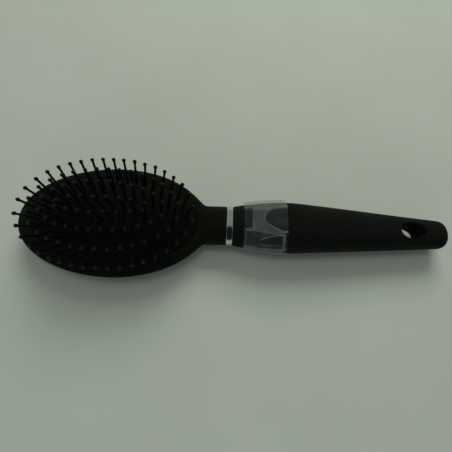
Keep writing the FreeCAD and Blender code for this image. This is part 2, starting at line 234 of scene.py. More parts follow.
def superellipse_fall(u, power):
    """Height of a unit superellipse at distance u from its middle."""
    return max(1.0 - abs(u) ** power, 0.0) ** (1.0 / power)


def section_ring(x, half_width, mid_z, up, down, power_up, power_down, count):
    """Points of a closed section at station x, with its own upper and lower halves."""
    points = []
    for i in range(count):
        angle = 2 * math.pi * i / count
        c = math.cos(angle)
        s = math.sin(angle)
        power = power_up if s >= 0 else power_down
        reach = up if s >= 0 else down
        y = math.copysign(half_width * abs(c) ** (2 / power), c)
        z = mid_z + math.copysign(reach * abs(s) ** (2 / power), s)
        points.append((x, y, z))
    return points


def axis_ring(x, half_width, half_thickness, power, count):
    """Ring at station x round the axis of the neck, the same above and below it."""
    return section_ring(x, half_width, NECK_Z, half_thickness, half_thickness, power, power, count)


def mesh_object(name, points, faces):
    """New object from points in millimetres, with its faces turned outwards."""
    mesh = bpy.data.meshes.new(name)
    mesh.from_pydata([(x * MM, y * MM, z * MM) for x, y, z in points], [], faces)
    bm = bmesh.new()
    bm.from_mesh(mesh)
    bmesh.ops.recalc_face_normals(bm, faces=bm.faces)
    bm.to_mesh(mesh)
    bm.free()
    obj = bpy.data.objects.new(name, mesh)
    bpy.context.scene.collection.objects.link(obj)
    return obj


def strip_faces(rings, count, loop, first=0):
    """Quads between rings of count points each. With loop the last ring joins the first."""
    faces = []
    spans = rings if loop else rings - 1
    for r in range(spans):
        low = first + r * count
        high = first + ((r + 1) % rings) * count
        for i in range(count):
            j = (i + 1) % count
            faces.append((low + i, low + j, high + j, high + i))
    return faces


def solid_from_rings(name, rings, loop=False):
    """Closed skin through rings of points, capped at both ends unless it loops."""
    count = len(rings[0])
    points = [p for ring in rings for p in ring]
    faces = strip_faces(len(rings), count, loop)
    if not loop:
        faces.append(tuple(reversed(range(count))))
        faces.append(tuple(range(len(points) - count, len(points))))
    return mesh_object(name, points, faces)


def cut(obj, cutter):
    """Takes the cutter's solid out of obj, and removes the cutter."""
    boolean = obj.modifiers.new("cut", "BOOLEAN")
    boolean.operation = "DIFFERENCE"
    boolean.solver = "EXACT"
    boolean.object = cutter
    graph = bpy.context.evaluated_depsgraph_get()
    mesh = bpy.data.meshes.new_from_object(obj.evaluated_get(graph))
    obj.modifiers.clear()
    obj.data = mesh
    bpy.data.objects.remove(cutter)


def smooth(obj, degrees):
    """Smooth shading, with sharp edges where faces meet at more than the angle."""
    obj.data.shade_smooth()
    obj.data.set_sharp_from_angle(angle=math.radians(degrees))


def oval(centre_x, half_length, half_width, height, count):
    """Ring of points on a level ellipse."""
    ring = []
    for i in range(count):
        angle = 2 * math.pi * i / count
        x = centre_x + half_length * math.cos(angle)
        y = half_width * math.sin(angle)
        ring.append((x, y, height))
    return ring


def flared_rings(centre_x, half_length, half_width, surface, fillet, side, count):
    """Rings of a cutter that leaves a rounded edge where it comes out through a surface.
    side is 1 for an edge that faces up and -1 for one that faces down."""
    base = [surface(x, y) for x, y, _ in oval(centre_x, half_length, half_width, 0.0, count)]
    rings = []
    for degrees in (0, 18, 36, 54, 72, 90):
        angle = math.radians(degrees)
        grow = fillet * (1 - math.cos(angle))
        lift = side * fillet * (math.sin(angle) - 1)
        flat = oval(centre_x, half_length + grow, half_width + grow, 0.0, count)
        rings.append([(x, y, z + lift) for (x, y, _), z in zip(flat, base)])
    out = oval(centre_x, half_length + fillet, half_width + fillet, 0.0, count)
    rings.append([(x, y, z + side * 3 * fillet) for (x, y, _), z in zip(out, base)])
    return rings


# Head shell

def head_half_width(x):
    """Half width of head and neck at station x."""
    reach = HEAD_REACH_FRONT if x < HEAD_X else HEAD_REACH_BACK
    full = HEAD_HALF_WIDTH * superellipse_fall((x - HEAD_X) / reach, ELLIPSE)
    neck = NECK_HALF_WIDTH * smoothstep(x, *NECK_WIDTH_BLEND)
    return (full ** NECK_BLEND_POWER + neck ** NECK_BLEND_POWER) ** (1 / NECK_BLEND_POWER)


def head_profile(x):
    """Half width, middle height, upper and lower reach and their powers at station x."""
    u = (x - HEAD_X) / (HEAD_REACH_FRONT if x < HEAD_X else HEAD_REACH_BACK)
    bowl = HEAD_DEPTH * superellipse_fall(min(abs(u), 1.0), HEAD_BACK_POWER)
    neck = NECK_HALF_THICKNESS * smoothstep(x, *NECK_DEPTH_BLEND)
    down = (bowl ** NECK_BLEND_POWER + neck ** NECK_BLEND_POWER) ** (1 / NECK_BLEND_POWER)
    mid_z = HEAD_WIDEST_Z + (NECK_Z - HEAD_WIDEST_Z) * smoothstep(x, *MIDDLE_Z_BLEND)
    rim_up = RIM_Z - HEAD_WIDEST_Z
    if x < HEAD_X:
        rim_up = rim_up * superellipse_fall(u, HEAD_TOP_POWER)
    up = rim_up + (NECK_HALF_THICKNESS - rim_up) * smoothstep(x, *NECK_TOP_BLEND)
    power_up = HEAD_TOP_POWER + (ELLIPSE - HEAD_TOP_POWER) * smoothstep(x, *TOP_POWER_BLEND)
    power_down = HEAD_BACK_POWER + (ELLIPSE - HEAD_BACK_POWER) * smoothstep(x, *BACK_POWER_BLEND)
    return head_half_width(x), mid_z, up, down, power_up, power_down


def head_top(x, y):
    """Height of the head shell's upper face before the mouth is cut."""
    half_width, mid_z, up, _, power_up, _ = head_profile(x)
    return mid_z + up * superellipse_fall(min(abs(y) / half_width, 1.0), power_up)


def shell_rings(count):
    """Rings of the head shell's skin, from the tip of the head to the end of the tang."""
    front_steps = 60
    rings = []
    for step in range(1, front_steps + 1):
        x = HEAD_X - HEAD_REACH_FRONT * math.cos(math.pi / 2 * step / front_steps)
        rings.append(section_ring(x, *head_profile(x), count))
    back_steps = 80
    for step in range(1, back_steps + 1):
        x = HEAD_X + (FERRULE_START_X - SHELL_END_FILLET - HEAD_X) * step / back_steps
        rings.append(section_ring(x, *head_profile(x), count))
    for degrees in (30, 60, 90):
        turn = math.radians(degrees)
        x = FERRULE_START_X - SHELL_END_FILLET * (1 - math.sin(turn))
        inset = SHELL_END_FILLET * (1 - math.cos(turn))
        rings.append(axis_ring(x, NECK_HALF_WIDTH - inset, NECK_HALF_THICKNESS - inset, ELLIPSE, count))
    for x in (FERRULE_START_X, HANDLE_START_X):
        rings.append(axis_ring(x, NECK_HALF_WIDTH - FERRULE_WALL, NECK_HALF_THICKNESS - FERRULE_WALL,
                               ELLIPSE, count))
    tang_end = HEAD_HIGH.x
    chamfer_start = tang_end - TANG_CHAMFER_LENGTH
    for x, share in ((HANDLE_START_X, 1.0), (chamfer_start, 1.0), (tang_end, TANG_END_SHARE)):
        rings.append(axis_ring(x, TANG_HALF_WIDTH * share, TANG_HALF_THICKNESS * share, TANG_POWER, count))
    return [[(x, y, max(z, 0.0)) for x, y, z in ring] for ring in rings]


def mouth_rings(count):
    """Rings of the hollow under the cushion: rounded mouth, groove for the flange and air chamber."""
    mouth_a = PAD_HALF_LENGTH + MOUTH_CLEARANCE
    mouth_b = PAD_HALF_WIDTH + MOUTH_CLEARANCE
    rings = flared_rings(HEAD_X, mouth_a, mouth_b, head_top, MOUTH_FILLET, 1, count)
    rings.reverse()
    groove_top = PAD_LOW.z + FLANGE_THICKNESS
    rings.append(oval(HEAD_X, mouth_a, mouth_b, groove_top, count))
    for z in (groove_top, PAD_LOW.z):
        rings.append(oval(HEAD_X, mouth_a + FLANGE_REACH, mouth_b + FLANGE_REACH, z, count))
    for share in (0.98, 0.94, 0.85, 0.7, 0.5, 0.3, 0.1):
        z = PAD_LOW.z - CHAMBER_DEPTH * superellipse_fall(share, ELLIPSE)
        rings.append(oval(HEAD_X, CHAMBER_HALF_LENGTH * share, CHAMBER_HALF_WIDTH * share, z, count))
    return rings


def make_head_shell():
    """Paddle and neck with a rounded mouth, a groove for the cushion, an air chamber and a tang."""
    shell = solid_from_rings("shell_body", shell_rings(160))
    cut(shell, solid_from_rings("mouth_cutter", mouth_rings(220)))
    smooth(shell, 32)
    return shell


# Cushion

def dome_height(x, y, radius):
    """Height of the dome of that radius over a point, level with its middle where it would end."""
    inside = radius ** 2 - ((x - HEAD_X) / PAD_STRETCH) ** 2 - y ** 2
    return PAD_CENTRE_Z + math.sqrt(max(inside, 0.0))


def dome_ring(r, radius, drop, count):
    """Ring on the dome at r from its middle, round at the vent and oval further out."""
    stretch = 1 + (PAD_STRETCH - 1) * smoothstep(r, 0.0, OVAL_FROM)
    ring = []
    for i in range(count):
        angle = 2 * math.pi * i / count
        x = HEAD_X + r * stretch * math.cos(angle)
        y = r * math.sin(angle)
        ripple = DOME_RIPPLE * noise.noise(Vector((x * DOME_RIPPLE_SCALE, y * DOME_RIPPLE_SCALE, 3.0)))
        ring.append((x, y, dome_height(x, y, radius) - drop + ripple))
    return ring


def lathe_rings(base, direction, profile, turns):
    """Rings of points round an axis, from pairs of radius and height."""
    side = direction.orthogonal().normalized()
    other = direction.cross(side)
    rings = []
    for radius, height in profile:
        ring = []
        for i in range(turns):
            angle = 2 * math.pi * i / turns
            p = base + direction * height + (side * math.cos(angle) + other * math.sin(angle)) * radius
            ring.append(tuple(p))
        rings.append(ring)
    return rings


def make_cushion(pins):
    """Closed rubber skin: dome, vent, rolled edge, skirt and flange, with a collar round each pin."""
    count = 240
    dome_steps = 90
    dome_start = VENT_RADIUS + VENT_EDGE
    dome_end = PAD_HALF_WIDTH - EDGE_INSET
    rings = []
    for step in range(dome_steps + 1):
        r = dome_start + (dome_end - dome_start) * step / dome_steps
        rings.append(dome_ring(r, PAD_RADIUS, 0.0, count))
    edge_z = dome_height(HEAD_X, dome_end, PAD_RADIUS)
    for inset, drop in EDGE_PROFILE:
        rings.append(oval(HEAD_X, PAD_HALF_LENGTH - inset, PAD_HALF_WIDTH - inset, edge_z - drop, count))
    flange_top = PAD_LOW.z + FLANGE_THICKNESS
    rings.append(oval(HEAD_X, PAD_HALF_LENGTH, PAD_HALF_WIDTH, flange_top, count))
    for z in (flange_top, PAD_LOW.z):
        rings.append(oval(HEAD_X, PAD_HALF_LENGTH + FLANGE_REACH, PAD_HALF_WIDTH + FLANGE_REACH, z, count))
    skirt_inside = PAD_HALF_WIDTH - SKIRT_WALL
    rings.append(oval(HEAD_X, skirt_inside * PAD_STRETCH, skirt_inside, PAD_LOW.z, count))
    inner_steps = 24
    for step in range(inner_steps + 1):
        r = skirt_inside + (VENT_RADIUS - skirt_inside) * step / inner_steps
        rings.append(dome_ring(r, PAD_RADIUS - PAD_WALL, 0.0, count))
    rings.append(dome_ring(VENT_RADIUS, PAD_RADIUS, VENT_EDGE_DROP, count))

    points = [p for ring in rings for p in ring]
    faces = strip_faces(len(rings), count, True)
    turns = 20
    for base, direction, _ in pins:
        collar = lathe_rings(base, direction, COLLAR_PROFILE, turns)
        faces += strip_faces(len(collar), turns, True, len(points))
        points += [p for ring in collar for p in ring]
    pad = mesh_object("cushion_membrane", points, faces)
    smooth(pad, 50)
    return pad


# Pins

def pin_axes(node):
    """Base on the dome, direction and length of every pin in a CAD group, read from its mesh."""
    bm = bmesh.new()
    bm.from_mesh(frame["nodes"][node].data)
    bmesh.ops.remove_doubles(bm, verts=bm.verts, dist=1e-6)
    left = set(bm.verts)
    axes = []
    while left:
        island = set()
        front = [left.pop()]
        while front:
            vert = front.pop()
            island.add(vert)
            for edge in vert.link_edges:
                other = edge.other_vert(vert)
                if other in left:
                    left.discard(other)
                    front.append(other)
        cloud = np.array([v.co for v in island], float) / MM
        middle = cloud.mean(0)
        direction = Vector(np.linalg.svd(cloud - middle)[2][0])
        if direction.z < 0:
            direction = -direction
        along = (cloud - middle) @ np.array(direction)
        tip = Vector(middle) + direction * float(along.max())
        axes.append((tip - direction * PIN_LENGTH, direction, float(along.max() - along.min())))
    bm.free()
    return sorted(axes, key=lambda axis: (round(axis[0].x, 3), round(axis[0].y, 3)))


def pin_profile(length, ball_radius):
    """Radius and height from the foot, through the tapered stem, round the ball to the tip."""
    foot_low = PIN_LENGTH - length
    foot_top = foot_low + PIN_FOOT_THICKNESS
    profile = [(PIN_CAP_RADIUS, foot_low), (PIN_FOOT_RADIUS, foot_low), (PIN_FOOT_RADIUS, foot_top),
               (PIN_BASE_RADIUS, foot_top + PIN_BEVEL), (PIN_BASE_RADIUS, 0.0)]
    stem_top = PIN_LENGTH - 2 * ball_radius - PIN_FLARE_LENGTH
    stem_steps = 6
    for step in range(1, stem_steps + 1):
        share = step / stem_steps
        radius = PIN_BASE_RADIUS + (PIN_NECK_RADIUS - PIN_BASE_RADIUS) * share ** PIN_TAPER_POWER
        profile.append((radius, stem_top * share))
    profile.append((PIN_NECK_RADIUS + PIN_FLARE, stem_top + 0.8 * PIN_FLARE_LENGTH))
    ball_z = PIN_LENGTH - ball_radius
    first = math.pi - math.asin(PIN_NECK_RADIUS / ball_radius) - 0.12   # just above the flare
    last = 0.05                                                         # just short of the pole
    ball_steps = 9
    for step in range(ball_steps + 1):
        angle = first + (last - first) * step / ball_steps
        profile.append((ball_radius * math.sin(angle), ball_z + ball_radius * math.cos(angle)))
    return profile


def make_pins(node, axes, rand):
    """The pins of one group, each with its own slight bend and ball size."""
    turns = 16
    points = []
    faces = []
    for base, direction, length in axes:
        side = direction.orthogonal().normalized()
        bend_way = Matrix.Rotation(rand.uniform(0, 2 * math.pi), 3, direction) @ side
        bend = rand.uniform(*PIN_BENDS)
        ball = PIN_BALL_RADIUS * rand.uniform(*BALL_SCALES)
        rings = lathe_rings(base, direction, pin_profile(length, ball), turns)
        for ring in rings:
            for p in ring:
                height = max((Vector(p) - base).dot(direction), 0.0) / PIN_LENGTH
                points.append(tuple(Vector(p) + bend_way * bend * height ** 2))
        first = len(points) - len(rings) * turns
        faces += strip_faces(len(rings), turns, False, first)
        faces.append(tuple(reversed(range(first, first + turns))))
        faces.append(tuple(range(len(points) - turns, len(points))))
    pins = mesh_object("nylon_" + node, points, faces)
    smooth(pins, 50)
    return pins


# Ferrule

def make_ferrule():
    """Crowned ring with rolled edges."""
    length = HANDLE_START_X - FERRULE_START_X
    edge = FERRULE_PROUD - FERRULE_CROWN
    front = []
    for degrees in (90, 67, 45, 22, 0):
        turn = math.radians(degrees)
        inset = FERRULE_ROLL * (1 - math.cos(turn))
        front.append((FERRULE_GAP + FERRULE_ROLL * (1 - math.sin(turn)), edge - inset))
    crown = []
    for share in (0.25, 0.5, 0.75):
        crown.append((length * share, FERRULE_PROUD - FERRULE_CROWN * (2 * share - 1) ** 2))
    back = [(length - x, proud) for x, proud in reversed(front)]
    bore = [(length - FERRULE_GAP, -FERRULE_WALL), (FERRULE_GAP, -FERRULE_WALL)]
    rings = []
    for x, proud in front + crown + back + bore:
        rings.append(axis_ring(FERRULE_START_X + x, NECK_HALF_WIDTH + proud, NECK_HALF_THICKNESS + proud,
                               ELLIPSE, 144))
    ring = solid_from_rings("chrome_ring", rings, loop=True)
    smooth(ring, 60)
    return ring


# Handle

def handle_at(x):
    """Half width, underside and top of the handle at station x, on smooth curves."""
    stations = [row[0] for row in HANDLE_STATIONS]
    k = 0
    while k < len(stations) - 2 and x > stations[k + 1]:
        k += 1
    span = stations[k + 1] - stations[k]
    t = (x - stations[k]) / span
    values = []
    for column in (1, 2, 3):
        row = [r[column] for r in HANDLE_STATIONS]
        slopes = []
        for i in (k, k + 1):
            low = max(i - 1, 0)
            high = min(i + 1, len(stations) - 1)
            slopes.append((row[high] - row[low]) / (stations[high] - stations[low]))
        start_part = (1 + 2 * t) * (1 - t) ** 2 * row[k] + t * (1 - t) ** 2 * span * slopes[0]
        end_part = t * t * (3 - 2 * t) * row[k + 1] + t * t * (t - 1) * span * slopes[1]
        values.append(start_part + end_part)
    return values


def handle_ring(x, inset, fall, count):
    """Ring of the handle's skin at station x, moved inwards by inset and shrunk by fall."""
    half_width, low, high = handle_at(x)
    reach = ((high - low) / 2 - inset) * fall
    return section_ring(x, (half_width - inset) * fall, (low + high) / 2, reach, reach,
                        HANDLE_SECTION_POWER, HANDLE_SECTION_POWER, count)


def handle_face(x, y, side):
    """Height of the handle's top (side 1) or underside (side -1) over a point."""
    half_width, low, high = handle_at(x)
    reach = (high - low) / 2
    return (low + high) / 2 + side * reach * superellipse_fall(y / half_width, HANDLE_SECTION_POWER)


def handle_rings(inset, count, front_fillet):
    """Rings of the handle's skin, moved inwards by inset and rounded at both ends."""
    tail_x = TAIL_X - inset
    rounding_x = TAIL_X - TAIL_ROUNDING_LENGTH
    start_x = HANDLE_START_X + inset
    rings = []
    for degrees in (0, 22, 45, 67, 90):
        turn = math.radians(degrees)
        x = start_x + front_fillet * (1 - math.cos(turn))
        fillet_inset = FILLET_DEPTH_SHARE * front_fillet * (1 - math.sin(turn))
        rings.append(handle_ring(x, inset + fillet_inset, 1.0, count))
    steps = 90
    for step in range(1, steps + 1):
        x = start_x + front_fillet + (rounding_x - start_x - front_fillet) * step / steps
        rings.append(handle_ring(x, inset, 1.0, count))
    for degrees in range(8, 90, 6):
        x = rounding_x + (tail_x - rounding_x) * math.sin(math.radians(degrees))
        fall = superellipse_fall((x - rounding_x) / (tail_x - rounding_x), TAIL_ROUNDING_POWER)
        rings.append(handle_ring(x, inset, fall, count))
    return rings


def hole_cutter(grow, fillet):
    """Cutter for the hang hole, grown by a margin and flared at the handle's top and underside."""
    across = 96
    length = HANG_HOLE_HALF_LENGTH + grow
    width = HANG_HOLE_HALF_WIDTH + grow
    rings = flared_rings(HANG_HOLE_X, length, width, lambda x, y: handle_face(x, y, -1), fillet, -1, across)
    rings.reverse()
    rings += flared_rings(HANG_HOLE_X, length, width, lambda x, y: handle_face(x, y, 1), fillet, 1, across)
    return solid_from_rings("hole_cutter", rings)


def make_grip():
    """Soft sleeve, hollow round the core, with rounded edges at the front and round the hang hole."""
    sleeve = solid_from_rings("soft_grip", handle_rings(0.0, 128, SLEEVE_FRONT_FILLET))
    hollow = solid_from_rings("grip_hollow", handle_rings(SLEEVE_WALL, 96, CORE_FRONT_FILLET))
    cut(hollow, hole_cutter(SLEEVE_WALL, CORE_HOLE_FILLET))
    cut(sleeve, hollow)
    cut(sleeve, hole_cutter(0.0, HANG_HOLE_FILLET))
    smooth(sleeve, 35)
    return sleeve


# Clear film

FILM_FLATS = [
    # the way each flat faces at the film's start and at its end, in degrees from +Y towards +Z
    (52, 50),
    (84, 90),
    (128, 138),
    (173, 172),
    (217, 213),
    (270, 270),
    (310, 308),
    (352, 356),
]
FILM_GAP = 0.2                # off the grip's section where a flat touches it
FILM_CLING_GAP = 0.12         # off the grip where the film is pressed on
FILM_LAYER = 0.12
FILM_LOWEST_Z = 0.14
FILM_END_MARGIN = 0.1         # about how far the film stays inside its CAD node's ends
FILM_END_WAVE = 0.05
FILM_DRAWN_BACK = 0.7         # the most that its far end is drawn back
FILM_RIPPLE = 0.08
FILM_SWELL = 0.06
FILM_CREASE = 0.7             # strength of the creases between flats
FILM_CREASE_REACH = 0.3
PRESSED_CREASE_LOSS = 0.8     # share of a crease's strength that goes where the film is pressed on
FOLD_HEIGHT = 0.25
FOLD_CORE = 0.3               # share of a fold's half width that is at full strength
OUTLINE_WOBBLE = 0.25
# depth inside an outline at which the film starts to be pressed on, and is fully pressed on
PRESSED_EDGE = (-0.25, 0.55)
# distance from an outline at which its painted highlight line starts to fade, and is gone
OUTLINE_HIGHLIGHT_FADE = (0.1, 0.5)
MM_PER_DEGREE = 0.22          # along the film, going round the handle
FILM_PRESSED = [
    # places where the film is pressed onto the grip: the strength of the painted highlight along the edge, where
    # the film is also lifted a little, and the outline as pairs of station x and direction in degrees
    (0.7, [(15.6, 81), (16.3, 68), (18.8, 56), (22.5, 49.5), (33, 47), (33, 117), (25, 116.5), (20, 104.5),
           (16.8, 94)]),
    (0.2, [(2, 44), (10.0, 46), (9.6, 112), (2, 113)]),
    (0.0, [(11, 153), (13, 143), (16.5, 134), (20, 129), (26.4, 126), (26.4, 154), (19, 160), (14.5, 159)]),
    (0.0, [(27.3, 119), (33, 118), (33, 178), (27.3, 178)]),
    (0.5, [(8, 195), (20, 186), (27, 205), (14, 222)]),
    (0.4, [(4, 236), (26, 238), (24, 300), (10, 304)]),
]
FILM_FOLDS = [
    # first end, second end (station x and direction in degrees), half width in mm, strength of the lift and of the
    # haze, which is partly milky film and partly a painted highlight
    ((16.7, 115), (14.4, 138), 0.9, 0.3),
    ((10.6, 92), (10.4, 112), 0.6, 0.5),
    ((12.6, 58), (15.0, 98), 2.6, 0.14),
    ((24.7, 48), (25.0, 114), 0.3, 0.2),
    ((28.1, 126), (28.3, 165), 0.25, 0.5),
    ((20.0, 14), (24.0, 30), 1.2, 0.25),
    ((9.0, 200), (22.0, 240), 0.7, 0.4),
]
SECOND_LAYER_FLATS = (2, 3)
SECOND_LAYER_START_X = 5.7
SECOND_LAYER_END_X = 26.9
SECOND_LAYER_CLING = 1.0      # its haze is that of pressed film, as it lies on the first layer


def tangent_distance(half_width, half_thickness, degrees):
    """Distance from a section's middle to its tangent line that faces the given way."""
    dual = HANDLE_SECTION_POWER / (HANDLE_SECTION_POWER - 1)
    angle = math.radians(degrees)
    return (abs(half_width * math.cos(angle)) ** dual
            + abs(half_thickness * math.sin(angle)) ** dual) ** (1 / dual)


def film_corner(half_width, half_thickness, first, second, offset):
    """Where two neighbouring flats of the film meet, off the section by the offset."""
    a = math.radians(first)
    b = math.radians(second)
    da = tangent_distance(half_width, half_thickness, first) + offset
    db = tangent_distance(half_width, half_thickness, second) + offset
    spread = math.sin(b - a)
    return Vector(((da * math.sin(b) - db * math.sin(a)) / spread,
                   (db * math.cos(a) - da * math.cos(b)) / spread))


def unrolled(x, direction):
    """Place on the film laid out flat, in millimetres."""
    return Vector((x, direction * MM_PER_DEGREE))


def segment_distance(spot, start, end):
    """Distance from a spot to the segment between two points."""
    along = end - start
    share = min(max((spot - start).dot(along) / along.length_squared, 0.0), 1.0)
    return (spot - start - along * share).length


def depth_inside(spot, outline):
    """How far a point lies inside an outline, and less than 0 outside it."""
    corners = [unrolled(*corner) for corner in outline]
    inside = False
    nearest = math.inf
    for i, corner in enumerate(corners):
        last = corners[i - 1]
        nearest = min(nearest, segment_distance(spot, last, corner))
        if (corner.y > spot.y) != (last.y > spot.y):
            if spot.x < corner.x + (last.x - corner.x) * (spot.y - corner.y) / (last.y - corner.y):
                inside = not inside
    return nearest if inside else -nearest


def film_look(x, direction):
    """How far the film is pressed onto the grip, and how strongly it is folded, at a place on it. The edges of
    pressed places count as folds: they are lifted a little and carry a painted highlight.
    """
    spot = unrolled(x, direction)
    wobble = OUTLINE_WOBBLE * noise.noise(Vector((spot.x * 0.4, spot.y * 0.4, 1.0)))
    pressed = 0.0
    fold_and_highlight = 0.0
    for outline_highlight, outline in FILM_PRESSED:
        depth = depth_inside(spot, outline) + wobble
        pressed = max(pressed, smoothstep(depth, *PRESSED_EDGE))
        # a strip along each outline gets a painted highlight and a slight lift
        fold_and_highlight = max(fold_and_highlight, outline_highlight * (1 - smoothstep(abs(depth), *OUTLINE_HIGHLIGHT_FADE)))
    for start, end, half_width, strength in FILM_FOLDS:
        distance = segment_distance(spot, unrolled(*start), unrolled(*end))
        fold_and_highlight = max(fold_and_highlight, strength * (1 - smoothstep(distance, FOLD_CORE * half_width, half_width)))
    return pressed, fold_and_highlight


def film_point(x, flat, share, lift):
    """Point of the film on a flat, how far it is pressed on there and how strongly it is creased, folds included,
    which sets its haze: partly milky film, partly a painted highlight.
    share is the place across the flat, from 0 to 1, and lift the height above the first layer."""
    half_width, low, high = handle_at(x)
    half_thickness = (high - low) / 2
    along = (x - FILM_LOW.x) / (FILM_HIGH.x - FILM_LOW.x)
    ways = [a + (b - a) * along for a, b in FILM_FLATS]
    flats = len(ways)
    before = ways[flat - 1] - (360 if flat == 0 else 0)
    after = ways[(flat + 1) % flats] + (360 if flat == flats - 1 else 0)
    start = film_corner(half_width, half_thickness, before, ways[flat], FILM_GAP + lift)
    end = film_corner(half_width, half_thickness, ways[flat], after, FILM_GAP + lift)
    spot = start.lerp(end, share)
    power = HANDLE_SECTION_POWER
    reach = (abs(spot.x / half_width) ** power + abs(spot.y / half_thickness) ** power) ** (1 / power)
    clinging = spot / reach * (1 + (FILM_CLING_GAP + lift) / spot.length)
    direction = math.degrees(math.atan2(spot.y, spot.x)) % 360
    pressed, fold_and_highlight = film_look(x, direction)
    spot = spot.lerp(clinging, pressed)
    corner_distance = min(share, 1 - share) * (end - start).length
    crease = FILM_CREASE * (1 - smoothstep(corner_distance, 0.0, FILM_CREASE_REACH))
    crease *= 1 - PRESSED_CREASE_LOSS * pressed
    ripple = FILM_RIPPLE * noise.noise(Vector((x * 0.35, direction * 0.09, lift * 9)))
    ripple += FILM_SWELL * noise.noise(Vector((x * 0.12 + direction * 0.11, x * 0.5, 7.0)))
    ripple += FOLD_HEIGHT * fold_and_highlight
    spot = spot * (1 + ripple * (1 - pressed) * (1 - crease) / spot.length)
    z = (low + high) / 2 + spot.y
    return (x, spot.x, max(z, FILM_LOWEST_Z)), pressed, max(crease, fold_and_highlight)


def film_end_x(flat, share):
    """Where the film ends on a flat: drawn back over the grip's top and front, and a little wavy."""
    turn = (flat + share) / len(FILM_FLATS)
    drawn_back = FILM_DRAWN_BACK * math.sin(math.pi * min(turn * 2.2, 1.0))
    return FILM_HIGH.x - FILM_END_MARGIN - drawn_back + FILM_END_WAVE * math.sin(turn * 60)


def make_film():
    """Film of flats, pressed onto the grip in places, with a second layer that ends in straight edges."""
    per_flat = 36
    stations = 84
    around = per_flat * len(FILM_FLATS)
    points = []
    clings = []
    crease_milk_and_highlight = []
    for step in range(stations):
        for k in range(around):
            flat, part = divmod(k, per_flat)
            end_x = film_end_x(flat, part / per_flat)
            start_x = FILM_LOW.x + FILM_END_MARGIN + FILM_END_WAVE * math.sin(k * 0.09)
            x = start_x + (end_x - start_x) * step / (stations - 1)
            point, pressed, crease = film_point(x, flat, part / per_flat, 0.0)
            points.append(point)
            clings.append(pressed)
            crease_milk_and_highlight.append(crease)
    faces = strip_faces(stations, around, False)

    first = len(points)
    columns = per_flat * len(SECOND_LAYER_FLATS)
    for step in range(stations):
        for k in range(columns):
            flat, part = divmod(k, per_flat)
            start_x = SECOND_LAYER_START_X + 0.1 * math.sin(k * 0.15)
            end_x = SECOND_LAYER_END_X + 0.12 * math.sin(k * 0.1 + 1)
            x = start_x + (end_x - start_x) * step / (stations - 1)
            point, _, crease = film_point(x, SECOND_LAYER_FLATS[flat], part / per_flat, 2 * FILM_LAYER)
            points.append(point)
            clings.append(SECOND_LAYER_CLING)
            # the layer's cut edges get extra haze: a painted highlight along each edge
            start_edge_highlight = 0.6 * (1 - smoothstep(x - start_x, 0.8, 1.2))
            end_edge_highlight = 1 - smoothstep(end_x - x, 0.35, 0.6)
            crease_milk_and_highlight.append(max(crease * 0.4, start_edge_highlight, end_edge_highlight))
    for step in range(stations - 1):
        for k in range(columns - 1):
            corner = first + step * columns + k
            faces.append((corner, corner + 1, corner + columns + 1, corner + columns))

    film = mesh_object("film_wrap", points, faces)
    # the crease attribute sets the film's haze: milky film and a painted highlight along creases, folds and edges
    for name, values in (("cling", clings), ("crease", crease_milk_and_highlight)):
        attribute = film.data.attributes.new(name, "FLOAT", "POINT")
        attribute.data.foreach_set("value", values)
    thicken = film.modifiers.new("thicken", "SOLIDIFY")
    thicken.thickness = FILM_LAYER * MM
    thicken.offset = -1.0
    smooth(film, 40)
    return film


# Materials

def mix_colours(tree, factor, a, b):
    """Colour mix of two colours or colour sockets."""
    mix = tree.nodes.new("ShaderNodeMix")
    mix.data_type = "RGBA"
    tree.links.new(factor, mix.inputs["Factor"])
    for key, value in (("A", a), ("B", b)):
        socket = next(i for i in mix.inputs if i.name == key and i.type == "RGBA")
        if isinstance(value, tuple):
            socket.default_value = (*value, 1.0)
        else:
            tree.links.new(value, socket)
    return next(o for o in mix.outputs if o.type == "RGBA")


